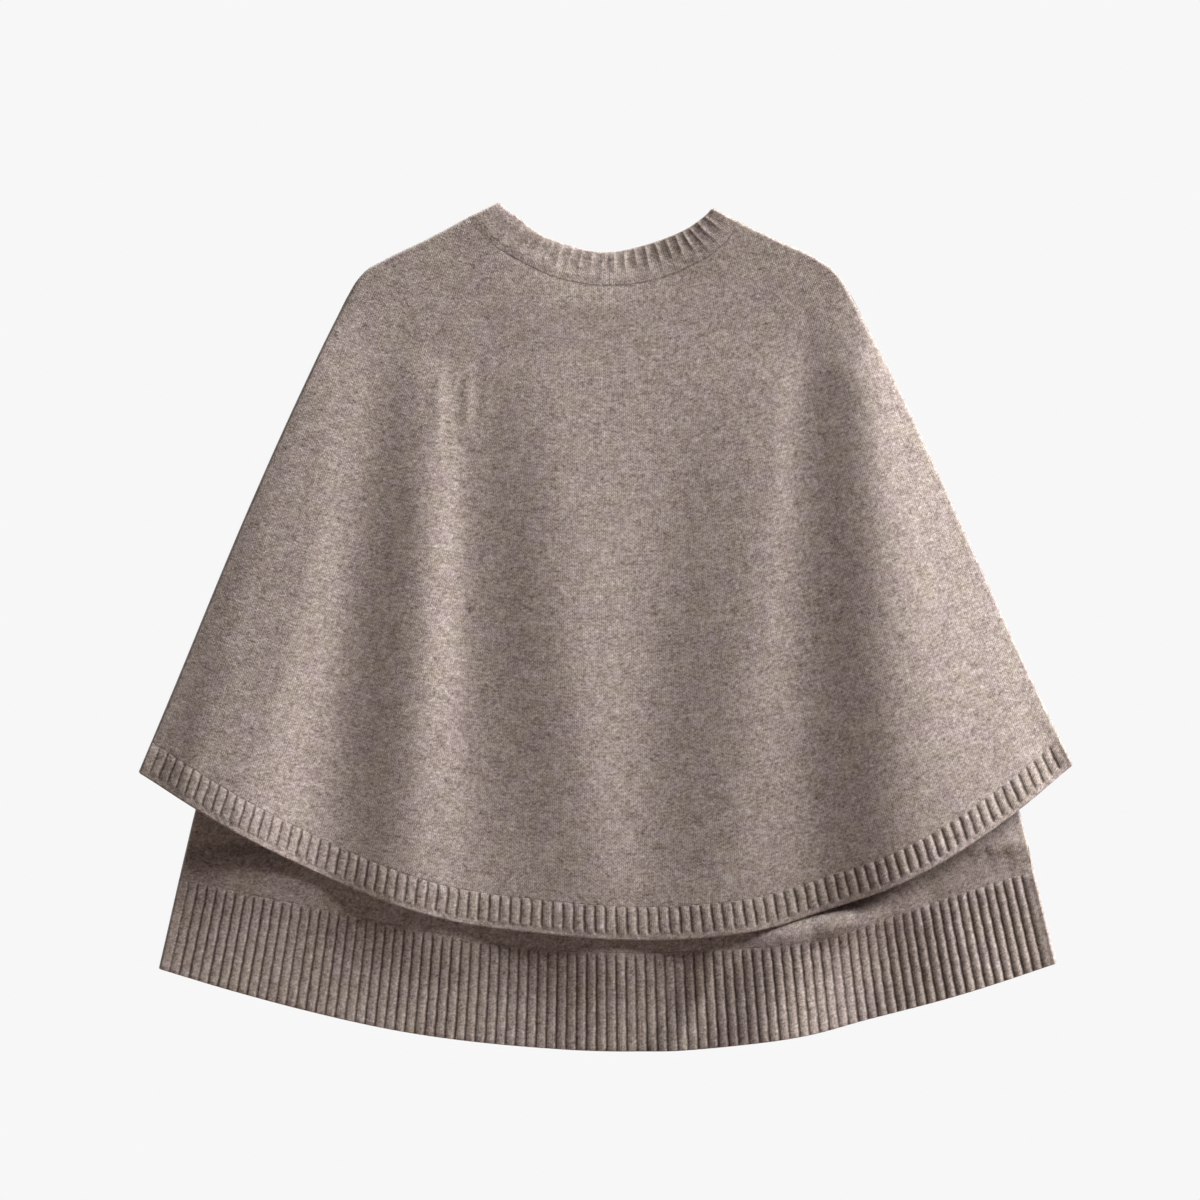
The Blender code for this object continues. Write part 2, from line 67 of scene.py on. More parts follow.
FRONT_NECK_DROP = 50.0       # how much lower the front neckline is than the back one
FRONT_NECK_ROUND = 1.5       # power that rounds its curve off towards its ends

# The back neckline has only the floor under it, and sinks towards it
NECK_SAG = 6.0
SAG_HALF_WIDTH = 95.0
SAG_START_Y = 245.0
SAG_END_Y = 300.0

# Where each tube's wales would meet if they were drawn on upwards
CAPE_APEX = Point(5, 692)
BODY_APEX = Point(2, 1190)

# The fold from the neckband out along the shoulder, and from there down the side to the hem
CAPE_LEFT_SHOULDER = [Point(-107, 319), Point(-140, 301.5), Point(-172, 286), Point(-186, 278),
                      Point(-194.5, 268.5), Point(-203, 253)]
CAPE_LEFT_SIDE = [Point(-240, 177), Point(-275, 99), Point(-340, -57), Point(-363.5, -113)]
CAPE_RIGHT_SHOULDER = [Point(103, 315.5), Point(132, 301.5), Point(165, 286), Point(177, 277.5),
                       Point(184.5, 268.5), Point(193, 253)]
CAPE_RIGHT_SIDE = [Point(232, 177), Point(268, 99), Point(339, -57), Point(363.5, -107)]
CAPE_HEM = [Point(-363.5, -113), Point(-299, -152), Point(-247, -180), Point(-195, -204),
            Point(-122, -228), Point(-50, -238), Point(16, -243), Point(76, -241),
            Point(124, -234), Point(168, -220), Point(228, -198), Point(285, -166),
            Point(322, -140), Point(363.5, -107)]

BODY_LEFT_SHOULDER = [Point(-102, 309.5), Point(-136, 292.5), Point(-167, 279),
                      Point(-179, 271.5), Point(-186.5, 263.5), Point(-193, 253)]
BODY_LEFT_SIDE = [Point(-239, 138), Point(-285, -10), Point(-319, -140), Point(-348.5, -266.5)]
BODY_RIGHT_SHOULDER = [Point(98.5, 306), Point(128, 292), Point(160, 279),
                       Point(169.5, 271.5), Point(176.5, 263.5), Point(183, 253)]
BODY_RIGHT_SIDE = [Point(233, 138), Point(285, -10), Point(321, -140), Point(351, -262)]
BODY_HEM = [Point(-348.5, -266.5), Point(-292, -283.5), Point(-234, -299), Point(-161, -315),
            Point(-51, -328), Point(3, -330.5), Point(58, -329), Point(113, -323),
            Point(168, -315), Point(200, -307), Point(260, -291), Point(309, -276),
            Point(351, -262)]

# Heights of the hem bands, by how far across they are, from 0 at the left fold to 100 at the right
CAPE_BAND = [(0, 26), (30, 26), (60, 26), (80, 24.5), (100, 23.5)]
BODY_BAND = [(0, 73.5), (10, 77.5), (20, 82), (30, 80.5), (40, 78), (50, 77.5), (60, 76.5),
             (70, 72.5), (80, 74), (90, 76), (100, 75)]

# The back of the neckband, from its left fold to its right one
NECK_BACK = [NeckSection(-107, 319, -83, 330.5), NeckSection(-101.5, 308.5, -77.5, 324.5),
             NeckSection(-90, 298, -70, 319.5), NeckSection(-67, 284, -52, 306),
             NeckSection(-38, 271, -29.5, 297), NeckSection(0, 265, 1, 291.5),
             NeckSection(34, 268.5, 28, 296.5), NeckSection(64, 279.5, 53, 305),
             NeckSection(86.5, 292.5, 67.5, 312.5), NeckSection(97.5, 304.5, 77.5, 320),
             NeckSection(103, 315.5, 83, 326)]

# Crests and troughs of the near walls, from left to right: where each is at three heights of the
# garment, and how high it stands there. Between two neighbours the height follows a smooth step.
CAPE_FOLDS_Y = (215.0, 20.0, -175.0)
CAPE_FOLDS_START_Y = 260.0   # where they begin, and the length over which they grow from nothing
CAPE_FOLDS_RISE = 70.0
CAPE_FOLDS = [Fold(-230, -318, -410, 3.5, 6.5, 9), Fold(-226, -241, -302, 3.5, 8, 18.5),
              Fold(-170, -200, -213, 0, 2, 3.5), Fold(-141, -142, -156, 0.5, 10, 10),
              Fold(-104, -106, -100, 0, 3, 5), Fold(-40, -32, -8, 1, 10.5, 10.5),
              Fold(57, 35, 27, 1.5, 6.5, 9), Fold(135, 119, 104, 2, 13.5, 15),
              Fold(152, 146, 150, 1, 11.5, 13.5), Fold(195, 215, 233, 7, 21.5, 25),
              Fold(225, 308, 397, 0, 2, 7.5)]
BODY_FOLDS_Y = (-200.0, -260.0, -320.0)
BODY_FOLDS_START_Y = -130.0
BODY_FOLDS_RISE = 60.0
BODY_FOLDS = [Fold(-335, -343, -352, 4, 0, 0), Fold(-292, -295, -268, 6, 0, 0),
              Fold(-210, -212, -188, 2.5, 0, 0), Fold(-145, -124, -115, 8, 3, 0),
              Fold(-63, -62, -64, 3, 0, 0), Fold(12, 11, -7, 8, 8, 3.5),
              Fold(67, 60, 29, 10, 5, 3.5), Fold(95, 87, 62, 11, 10, 11.5),
              Fold(208, 151, 122, 7, 19.5, 20.5), Fold(235, 219, 202, 5, 0, 0),
              Fold(252, 280, 290, 4, 3.5, 8), Fold(335, 345, 352, 2, 2, 4)]


# ---- What the shells add, in millimetres ---------------------------------------------------------

# Soft ridges that fade out towards both ends
CAPE_CREASES = [Crease(-128, 207, -132, 120, 0.7, 5), Crease(-106, 205, -110, 140, 1.0, 4.5)]
BODY_CREASES = [Crease(160, -236, 250, -208, 7.5, 14), Crease(104, -247, 212, -222, 4.5, 9)]

# Hem ribs: how many a band has from fold to fold, the depth of their grooves, the distance over
# which those deepen at the top of the band, and the share of its height that is a plain strip at
# its edge
CAPE_HEM_RIBS = Ribs(94, 0.5, 2.5, 0.2)
BODY_HEM_RIBS = Ribs(90, 0.57, 4.0, 0)
RIBS_LEAD = 0.5              # how far above the band's top the grooves begin
RISE_LENGTH = 4.0            # distance over which a band rises above its panel
STRIP_FADE = 3.0             # distance over which the ribs fade out above the plain strip
FOLD_RIBS = 1.3              # ribs beside a fold, over which the grooves deepen
GROOVE_AT = 0.81             # where in a rib's width its groove lies
GROOVE_SHARPNESS = 5.5       # the higher, the narrower the groove and the flatter the crest
GROOVE_WAVER = [(0.022, 19.0), (0.012, 8.3)]    # its size, in ribs, and its length along them
DEPTH_SPREAD = 0.3           # share by which some grooves are shallower than the deepest
ROUNDNESS = [(0, 0.15), (0.6, 0.25), (0.85, 0.6), (1, 0.6)]    # across the hem, and depth

# The neckband: narrow ridges between wide hollows, which fade towards the seam and at the folds
NECK_RIBS = 24
NECK_END_RIBS = 1.2          # ribs beside a fold, over which the hollows deepen
NECK_RIDGE_SHARPNESS = 2.5   # the higher, the narrower the ridges
NECK_HOLLOW = 0.5            # depth of the hollows, and how dark the shade painted in them is
NECK_HOLLOW_SHADE = 0.28
NECK_FADE = [(0, 0), (0.25, 0.15), (0.55, 1), (0.93, 0.9), (1, 0.5)]    # up the band, and strength
NECK_RISE_LENGTH = 7.0       # distance over which the neckband rises above the panel
NECK_EDGE_DROP = 0.5         # how much its top edge rounds down
NECK_EDGE_START = 0.8        # how far up the band it starts to do so
JOIN_X = (-0.5, 3.5)         # the ends of the neckband's strip, joined at the centre back
JOIN_RISE = 0.35             # height and width of the ridge that each end makes
JOIN_WIDTH = 0.8

# Seams and edges
SEAM = 0.05                  # gap between two linked pieces, narrower than between the solids
SEAM_ROUNDING = 0.6          # how far from the seam or the edge the cloth is rounded
EDGE_ROUNDING = 0.9
NECK_SEAM_ROUNDING = 1.3
NECK_EDGE_ROUNDING = 1.6
ROUNDING_SHARE = 0.995       # of an edge's half circle that is made, so that its rim isn't a line
SEAM_KEPT = 0.93             # share of the thickness at a seam between a panel and its hem
NECK_SEAM_KEPT = 0.97
NECK_SEAM_START = -100.0     # where the neckband's seam begins to show, and over which distance
NECK_SEAM_FADE = 22.0
NECK_SEAM_WIDTH = 1.8        # how far to each side of the seam shade is painted, and how dark it is
NECK_SEAM_SHADE = 0.45
NECK_CORNER = 12.0           # distance in from the neckline's ends over which its seam begins
NECK_CORNER_GAP = 13.0       # what is added there to a point's distance from the seam

# Folds
FOLD_REACH = 2.4             # how far in from a fold the cloth is rounded
FOLD_TOLERANCE = 0.02        # points this near a fold count as on it
FOLD_LIGHT_REACH = 5.0             # how far in from the folds light is painted onto the wool
RIGHT_FOLD_LIGHT = 0.2             # how much of it the right ones get

# Mesh
LINE_STEPS = 12              # points that a smooth line has between two rows of its table
FOLD_COLUMNS = 8             # columns that round a fold, and rows that round an edge
EDGE_ROWS = 5
# Where each rib has its columns, in shares of its width, crowded around its groove
RIB_COLUMNS = np.array([0, 0.16, 0.32, 0.46, 0.57, 0.65, 0.71, 0.76, 0.81, 0.86, 0.91, 0.96])
TOP_ROWS = np.array([0.8, 1.8, 3, 4.5, 6.2])    # distances below a panel's rounded top edge
CAPE_BACK_GRID = 230, 165    # columns and rows
BODY_BACK_GRID = 220, 120
FRONT_GRID = 110, 60
CAPE_BACK_HEM_ROWS = 18
CAPE_FRONT_HEM_ROWS = 8
BODY_BACK_HEM_ROWS = 26
BODY_FRONT_HEM_ROWS = 10
NECKBAND_ROWS = 16


# ---- Wool ----------------------------------------------------------------------------------------

# Stitches. Noises are in waves for each metre, and their strengths here in stitches.
WALE = 3.1                   # width of a stitch, in millimetres, and its height
COURSE = 2.35
RIB_WALES = 3                # of one rib, the last of which lies in its groove
INCREASE_BAND = 60.0         # distance down the garment after which more wales are added
INCREASE_SCALE = 60.0        # noise along the line where that happens
WALE_WAVER = Noise(120.0, 0.5)
COURSE_WAVER = Noise(90.0, 0.9)
LEG_SLANT = 0.9              # courses that each leg of a loop climbs
STRAND_ROUNDNESS = 0.7       # powers that flatten the tops of the loops, down them and across them
LEG_ROUNDNESS = 0.6

# Fibres and streaks, in waves for each wale across and each course down
FIBRE_SLANT = 0.5
FIBRE_ACROSS = 0.95
FIBRE_DOWN = 1.05
FIBRE_DETAIL = 3.0
FIBRE_ROUGHNESS = 0.65
STREAK_ACROSS = 0.34
STREAK_DOWN = 0.45

# How much each part of the knit lightens and darkens the wool
LEG_TONE = 0.08
# Loop tops lighter and the hollows between the loops darker: painted shade
LOOP_SHADE_TONE = 0.14
FIBRE_TONE = 0.46
FIBRE_SPREAD = 0.25          # of its noise around 0.5, which takes the tone to both ends
STREAK_TONE = 0.16
NOISE_SPREAD = 0.2           # the same of the streaks', the heather's and the grooves' noises
HEATHER = [Noise(520.0, 0.24), Noise(260.0, 0.15), Noise(120.0, 0.12), Noise(60.0, 0.07)]
SPECK_SCALE = 650.0
SPECKS = [Specks(0.60, 0.75, 0.5), Specks(0.40, 0.25, -0.4)]    # light ones, and dark ones
# Painted shade in the rib grooves, the neckband's hollows and along its seam
PAINTED_SHADE_TONE = 0.7
PAINTED_SHADE_RANGE = 0.12, 0.6     # marks at which the painted shade starts and is full
PAINTED_SHADE_JAG = 0.5, 1.4        # what the marks are multiplied with, to fray the painted shade
JAG_SCALE = 450.0
# Painted light along the folds
FOLD_LIGHT_TONE = 0.5

# Colours. The wool is half its own colour and half a tint between violet and olive.
WOOL = (0.315, 0.242, 0.210, 1)
WOOL_VIOLET = (0.301, 0.226, 0.224, 1)
WOOL_OLIVE = (0.302, 0.245, 0.190, 1)
# Towards which the tone lightens and darkens the wool, at random and as painted shade between the
# loops
WOOL_LIGHT = (0.56, 0.48, 0.44, 1)
WOOL_DARK = (0.070, 0.050, 0.042, 1)
# Colour of the painted shade in grooves, hollows and seams
PAINTED_SHADE_COLOUR = (0.060, 0.038, 0.030, 1)
# Colour of the painted light along the folds
FOLD_LIGHT_COLOUR = (0.47, 0.42, 0.395, 1)
TINT_SCALE = 48.0
TINT_RANGE = 0.35, 0.65
ROUGHNESS = 0.95
SPECULAR = 0.2
SHEEN = 0.25
SHEEN_ROUGHNESS = 0.5
SHEEN_TINT = (0.9, 0.85, 0.82, 1)
LOOP_RELIEF = 0.5            # height of the loops beside that of the fibres
BUMP_STRENGTH = 0.4
BUMP_HEIGHT = 0.5            # in millimetres


# ---- Camera, lights and floor, in metres and degrees ---------------------------------------------

CAMERA_HEIGHT = 3.2
CAMERA_X = -0.0047
CAMERA_Y = 0.0207
CAMERA_REACH = 20.0          # how far it sees
FRAME_WIDTH = 0.936          # of the picture, on the floor
SENSOR = 36.0
KEY_AZIMUTH = 45.0
KEY_ELEVATION = 10.2
KEY_SIZE = 30.0              # how broad it looks from the garment
KEY_STRENGTH = 12.3
KEY_COLOUR = (0.95, 1.0, 1.02)
FILL_AZIMUTH = 270.0
FILL_ELEVATION = 30.0
FILL_SIZE = 40.0
FILL_STRENGTH = 0.9
SHADE_COLOUR = (1.13, 1.0, 0.945)    # of the fill and of the even light from all sides
AMBIENT = 0.05
FLOOR_COLOUR = (0, 0, 0, 1)  # black, so that it takes no shadow, and its glow makes it white
FLOOR_ROUGHNESS = 0.9
FLOOR_GLOW = 0.93
FLOOR_REACH = 40.0
FLOOR_GAP = 0.0003           # from the floor up to the cloth


# ---- Lines and curves ----------------------------------------------------------------------------

def smooth_line(rows):
    """Points of the smooth curve through a table's rows, as one array of two or more columns."""
    rows = np.array(rows, float)
    lengths = np.hypot(*np.diff(rows[:, :2], axis=0).T)
    at = np.concatenate([[0], np.cumsum(lengths)])
    slopes = np.gradient(rows, at, axis=0)
    points = []
    for i, length in enumerate(lengths):
        t = np.linspace(0, 1, LINE_STEPS, endpoint=False)[:, None]
        points.append(rows[i] * (1 + 2 * t) * (1 - t) ** 2 + rows[i + 1] * t * t * (3 - 2 * t)
                      + slopes[i] * length * t * (1 - t) ** 2
                      + slopes[i + 1] * length * t * t * (t - 1))
    return np.vstack(points + [rows[-1:]])


def ease(t):
    """A smooth step from 0 to 1."""
    t = np.clip(t, 0, 1)
    return t * t * (3 - 2 * t)


def to_polar(points, apex):
    """Angle to the right of straight down, and distance, of points seen from an apex."""
    x, y = points[..., 0] - apex.x, apex.y - points[..., 1]
    return np.arctan2(x, y), np.hypot(x, y)


def from_polar(angle, radius, apex):
    """x and y of points that are given by angle and distance from an apex."""
    return apex.x + radius * np.sin(angle), apex.y - radius * np.cos(angle)


def neck_line(drop):
    """The neckband's sections, closely spaced, for a neckline lowered by drop in its middle."""
    line = smooth_line(NECK_BACK)
    share = np.linspace(0, 1, len(line))
    lower = drop * np.sin(np.pi * share) ** FRONT_NECK_ROUND
    line[:, 1] -= lower
    line[:, 3] -= lower
    return line


class Tube:
    """The outline of one flattened tube in polar form: its folds, its top edges and its hem."""

    def __init__(self, apex, left_shoulder, left_side, right_shoulder, right_side, hem, band, seam):
        self.apex = apex
        self.seam = seam
        left = smooth_line(left_shoulder + left_side)
        right = smooth_line(right_shoulder + right_side)
        corner = (len(left_shoulder) - 1) * LINE_STEPS
        self.folds = left, right
        self.shoulders = left[:corner + 1][::-1], right[:corner + 1]
        self.sides = [to_polar(line[corner:], apex) for line in self.folds]
        self.hem = to_polar(smooth_line(hem), apex)
        self.band = smooth_line(band).T

    def top(self, neck):
        """Angles and radii of the top edge, from corner to corner, with the given neckline, and
        the angles of the neckline's ends."""
        left, right = self.shoulders
        first = np.argmin(np.hypot(neck[:, 0] - left[-1, 0], neck[:, 1] - left[-1, 1]))
        last = np.argmin(np.hypot(neck[:, 0] - right[0, 0], neck[:, 1] - right[0, 1]))
        upwards = neck[:, 2:] - neck[:, :2]
        seam = neck[:, :2] - self.seam * upwards / np.hypot(*upwards.T)[:, None]
        line = np.vstack([left[:-1], seam[first:last + 1], right[1:]])
        return to_polar(line, self.apex), to_polar(seam[[first, last]], self.apex)[0]

    def side_angles(self, radius):
        """Angles of the left and the right fold."""
        (left_angle, left_radius), (right_angle, right_radius) = self.sides
        return (np.interp(radius, left_radius, left_angle),
                np.interp(radius, right_radius, right_angle))

    def hem_radius(self, angle):
        return np.interp(angle, *self.hem)

    def band_height(self, share):
        """Height of the hem band at a share of the way across."""
        return np.interp(100 * share, *self.band)

    def inside(self, x, y):
        """How far points are inside the nearer side fold, and negative outside it."""
        angle, radius = to_polar(np.stack([x, y], -1), self.apex)
        left, right = self.side_angles(radius)
        return np.minimum(angle - left, right - angle) * radius


CAPE = Tube(CAPE_APEX, CAPE_LEFT_SHOULDER, CAPE_LEFT_SIDE, CAPE_RIGHT_SHOULDER, CAPE_RIGHT_SIDE,
            CAPE_HEM, CAPE_BAND, SEAM)
BODY = Tube(BODY_APEX, BODY_LEFT_SHOULDER, BODY_LEFT_SIDE, BODY_RIGHT_SHOULDER, BODY_RIGHT_SIDE,
            BODY_HEM, BODY_BAND, BODY_SEAM)
# The cape's folds, each from its end of the neckband's top edge down
NECK_FOLDS = [np.vstack([NECK_BACK[end][2:], line]) for end, line in zip((0, -1), CAPE.folds)]
BACK_NECK = neck_line(0)
FRONT_NECK = neck_line(FRONT_NECK_DROP)


# ---- Levels --------------------------------------------------------------------------------------

def through(upper, middle, lower, share):
    """The value at a share of the way down of the parabola through three evenly spaced values."""
    return (upper * (1 - share) * (1 - 2 * share) + middle * 4 * share * (1 - share)
            + lower * share * (2 * share - 1))


def fold_height(x, y, folds, stations, start_y, rise):
    """Height that the folds in a table add at points of a near wall."""
    upper_y, _, lower_y = stations
    share = (upper_y - y) / (upper_y - lower_y)
    lines = [(through(*fold[:3], share), through(*fold[3:], np.clip(share, 0, None)))
             for fold in folds]
    height = lines[0][1]
    for (left_x, left), (right_x, right) in zip(lines, lines[1:]):
        height = height + (right - left) * ease((x - left_x) / (right_x - left_x))
    return height * ease((start_y - y) / rise)


def crease_height(x, y, creases):
    """Height that the soft ridges in a table add, which fade towards their ends."""
    height = np.zeros_like(x)
    for crease in creases:
        step_x, step_y = crease.x2 - crease.x1, crease.y2 - crease.y1
        length = math.hypot(step_x, step_y)
        along = ((x - crease.x1) * step_x + (y - crease.y1) * step_y) / length ** 2
        aside = ((x - crease.x1) * step_y - (y - crease.y1) * step_x) / length
        taper = np.sin(np.pi * np.clip(along, 0, 1))
        height += crease.height * taper * np.exp(-(aside / crease.width) ** 2)
    return height


def neck_sag(x, y):
    """How far the cloth sinks below the back neckline."""
    across = np.cos(np.pi / 2 * np.clip(x / SAG_HALF_WIDTH, -1, 1)) ** 2
    return NECK_SAG * across * ease((y - SAG_START_Y) / (SAG_END_Y - SAG_START_Y))


def on_floor(x, y):
    """Lower face of the cape's front."""
    return np.zeros_like(x)


def body_bottom(x, y):
    """Lower face of the body's front: on the cape's front, and down to the floor past that hem."""
    angle, radius = to_polar(np.stack([x, y], -1), CAPE.apex)
    past = radius - CAPE.hem_radius(angle) - HEM_CLEARANCE
    return BODY_FRONT_LEVEL * (1 - ease(past / BODY_STEP))


def body_top(x, y):
    """Upper face of the body's back."""
    folds = fold_height(x, y, BODY_FOLDS, BODY_FOLDS_Y, BODY_FOLDS_START_Y, BODY_FOLDS_RISE)
    level = body_bottom(x, y) + BODY_LOFT + folds - neck_sag(x, y)
    return level + WALL + crease_height(x, y, BODY_CREASES)


def cape_top(x, y):
    """Upper face of the cape's back."""
    over_body = ease((BODY.inside(x, y) + CAPE_SETTLE_END) / (CAPE_SETTLE_END - CAPE_SETTLE_START))
    level = CAPE_SIDE_LEVEL + (CAPE_BACK_LEVEL - CAPE_SIDE_LEVEL) * over_body
    folds = fold_height(x, y, CAPE_FOLDS, CAPE_FOLDS_Y, CAPE_FOLDS_START_Y, CAPE_FOLDS_RISE)
    return level + folds - neck_sag(x, y) + WALL + crease_height(x, y, CAPE_CREASES)


# ---- Walls ---------------------------------------------------------------------------------------

def nearest_fold(x, y, fold_lines):
    """Distance from points to the nearer fold, and the direction from it into the tube.

    The folds go straight on past their lower ends.
    """
    points = np.stack([x, y], -1)[..., None, :]
    distances, directions = [], []
    for line, turn in zip(fold_lines, (1, -1)):
        beyond = line[-1] + (line[-1] - line[-2]) * LINE_STEPS
        line = np.vstack([line, beyond])
        step = np.diff(line, axis=0)
        length = np.hypot(*step.T)
        share = ((points - line[:-1]) * step).sum(-1) / length ** 2
        foot = line[:-1] + np.clip(share, 0, 1)[..., None] * step
        distance = np.hypot(*np.moveaxis(points - foot, -1, 0))
        inward = turn * np.stack([-step[:, 1], step[:, 0]], -1) / length[:, None]
        distances.append(distance.min(-1))
        directions.append(inward[distance.argmin(-1)])
    is_left = distances[0] < distances[1]
    return np.minimum(*distances), np.where(is_left[..., None], *directions)


def wall_points(x, y, near, top, bottom, wall, fold_lines, let_in=0.0):
    """Outer and inner points of a near or a far wall, rounded towards its other half at the folds,
    and how far they are from the nearer fold.

    top is the near wall's upper face and bottom the far wall's lower one, so that the fold between
    them is half an oval. let_in is how far the outer points are let into the wall.
    """
    distance, inward = nearest_fold(x, y, fold_lines)
    radius = (top - bottom) / 2
    middle = (top + bottom) / 2
    cosine = np.clip(1 - (distance - FOLD_TOLERANCE) / FOLD_REACH, 0, 1)
    sine = np.sqrt(1 - cosine ** 2)
    sign = 1 if near else -1
    outer_rise = np.maximum((radius - let_in) * sine, SEAM / 2)
    inner_rise = np.maximum((radius - wall) * sine, SEAM / 2)
    outer = np.stack([x, y, middle + sign * outer_rise], -1)
    shift = (min(wall, FOLD_REACH) * cosine)[..., None] * inward
    inner = np.stack([x + shift[..., 0], y + shift[..., 1], middle + sign * inner_rise], -1)
    return outer, inner, distance


def round_edges(outer, inner, distance, rounding, seam_kept=None):
    """Draws both faces together near an edge, as half a circle, by their distance from it.

    At a seam only the outer face is drawn in, and to a share of the thickness, because there the
    inner ones meet.
    """
    share = np.clip(1 - distance / rounding, 0, ROUNDING_SHARE)
    kept = np.sqrt(1 - share ** 2)[..., None]
    if seam_kept is not None:
        return inner + (outer - inner) * (seam_kept + (1 - seam_kept) * kept), inner
    middle = (outer + inner) / 2
    return middle + (outer - middle) * kept, middle + (inner - middle) * kept


def shell(name, outer, inner, knit, near, finish):
    """One closed wall between a grid of outer points and a grid of inner ones."""
    rows, columns = outer.shape[:2]
    index = np.arange(rows * columns).reshape(rows, columns)
    if not near:
        index = index[:, ::-1]
    quads = np.stack([index[:-1, :-1], index[1:, :-1], index[1:, 1:], index[:-1, 1:]], -1)
    quads = quads.reshape(-1, 4)
    rim = np.concatenate([index[:-1, 0], index[-1, :-1], index[:0:-1, -1], index[0, :0:-1]])
    after = np.roll(rim, -1)
    count = rows * columns
    sides = np.stack([rim, rim + count, after + count, after], -1)
    faces = np.concatenate([quads, quads[:, ::-1] + count, sides])
    points = np.concatenate([outer.reshape(-1, 3), inner.reshape(-1, 3)]) * MM
    made = bpy.data.meshes.new(name)
    made.vertices.add(len(points))
    made.vertices.foreach_set("co", points.astype(np.float32).ravel())
    made.loops.add(faces.size)
    made.loops.foreach_set("vertex_index", faces.astype(np.int32).ravel())
    made.polygons.add(len(faces))
    made.polygons.foreach_set("loop_start", np.arange(0, faces.size, 4, dtype=np.int32))
    made.update(calc_edges=True)
    made.validate()
    made.polygons.foreach_set("use_smooth", np.arange(len(faces)) < len(faces) - len(rim))
    on_both = np.tile(knit.reshape(-1, 3), (2, 1))
    stored = made.attributes.new("knit", "FLOAT_VECTOR", "POINT")
    stored.data.foreach_set("vector", on_both.astype(np.float32).ravel())
    made.materials.append(finish)
    piece = bpy.data.objects.new(name, made)
    bpy.context.scene.collection.objects.link(piece)
    return piece


# ---- Columns and rows of a wall's grid -----------------------------------------------------------

def fold_offsets():
    """Distances from a fold of the columns that round it."""
    return FOLD_REACH * (1 - np.cos(np.linspace(0, np.pi / 2, FOLD_COLUMNS)))


def plain_columns(count):
    """Shares of the width, and offsets from it in millimetres, of a plain panel's columns."""
    inner = np.linspace(0, 1, count + 1)[1:-1]
    offsets = fold_offsets()
    share = np.concatenate([np.zeros(len(offsets)), inner, np.ones(len(offsets))])
    return share, np.concatenate([offsets, offsets[-1] * (1 - 2 * inner), -offsets[::-1]])


def rib_columns(count):
    """The same for a ribbed band."""
    share = np.append((np.arange(count)[:, None] + RIB_COLUMNS).ravel(), count) / count
    offsets = fold_offsets()
    offset = offsets[-1] * (1 - 2 * share)
    ends = len(offsets) - 1
    share = np.concatenate([np.zeros(ends), share, np.ones(ends)])
    return share, np.concatenate([offsets[:-1], offset, -offsets[:-1][::-1]])


def edge_steps(rounding):
    """Distances from a rounded edge of the rows that round it."""
    return rounding * (1 - np.cos(np.linspace(0, np.pi / 2, EDGE_ROWS)))


def panel_stops(length, count):
    """Shares of a panel's length at which its rows lie, close together by its rounded edges."""
    start = np.concatenate([edge_steps(NECK_SEAM_ROUNDING), NECK_SEAM_ROUNDING + TOP_ROWS])
    end = length - edge_steps(SEAM_ROUNDING)[::-1]
    middle = np.linspace(start[-1], end[0], count)[1:-1]
    return np.concatenate([start, middle, end]) / length


def band_stops(height, count, lower_rounding, upper_rounding):
    """Distances from one edge of a band, at which its rows lie, to its other edge."""
    start = edge_steps(lower_rounding)
    end = height - edge_steps(upper_rounding)[::-1]
    return np.concatenate([start, np.linspace(start[-1], end[0], count)[1:-1], end])


def tube_grid(tube, top_line, columns, rows):
    """x and y of a grid on a tube, and how far each point is below the top edge.

    A row is a share of the way from the top edge down to the hem, and back up from there a share
    of the hem band's height and a distance.
    """
    share, offset = columns
    left_top, right_top = (side[0][0] for side in tube.sides)
    left_hem, right_hem = (side[0][-1] for side in tube.sides)
    xs, ys, downs = [], [], []
    for down, up, gap in rows:
        at = [radius[0] + (radius[-1] - radius[0]) * down - up * tube.band_height(side) - gap
              for side, (_, radius) in enumerate(tube.sides)]
        left, right = tube.side_angles(at[0])[0], tube.side_angles(at[1])[1]
        across = share + offset / (sum(at) / 2) / (right - left)
        start = np.interp(left_top + (right_top - left_top) * across, *top_line)
        end = tube.hem_radius(left_hem + (right_hem - left_hem) * across)
        radius = start + (end - start) * down - up * tube.band_height(across) - gap
        x, y = from_polar(left + (right - left) * across, radius, tube.apex)
        xs.append(x)
        ys.append(y)
        downs.append(radius - start)
    return np.array(xs), np.array(ys), np.array(downs)


# ---- Pieces --------------------------------------------------------------------------------------

def groove_share(share, down, count):
    """1 at the bottom of a rib's groove and 0 on its crest, in rows down a band, and the same
    for the broad round of the rib."""
    past = share * count - GROOVE_AT
    rib = np.floor(past + 0.5).astype(int) + 1
    random = np.random.default_rng(count)
    phases = random.uniform(0, 2 * np.pi, (len(GROOVE_WAVER), count + 2))[:, rib]
    depth = random.uniform(1 - DEPTH_SPREAD, 1, count + 2)[rib]
    waver = sum(size * np.sin(2 * np.pi * down[:, None] / length + phase)
                for (size, length), phase in zip(GROOVE_WAVER, phases))
    wave = 0.5 + 0.5 * np.cos(2 * np.pi * (past - waver))
    return depth * wave ** GROOVE_SHARPNESS, wave


def neck_seam(x):
    """How deep the seam below the neckband is and how dark the shade painted along it, both fading
    out towards its left end.
    """
    return ease((x - NECK_SEAM_START) / NECK_SEAM_FADE)


def neck_seam_kept(x):
    """Share of the thickness that is kept at that seam."""
    return 1 - (1 - NECK_SEAM_KEPT) * neck_seam(x)[..., None]


def neck_seam_shade(x, distance):
    """How dark the shade painted along the seam is at a distance from it."""
    return NECK_SEAM_SHADE * neck_seam(x) * np.clip(1 - distance / NECK_SEAM_WIDTH, 0, 1)


def painted_fold_light(x, distance):
    """How much light is painted onto the wool at a distance from the folds, most on the left ones,
    which face away from the key light.
    """
    return np.where(x < 0, 1, RIGHT_FOLD_LIGHT) * np.clip(1 - distance / FOLD_LIGHT_REACH, 0, 1) ** 2


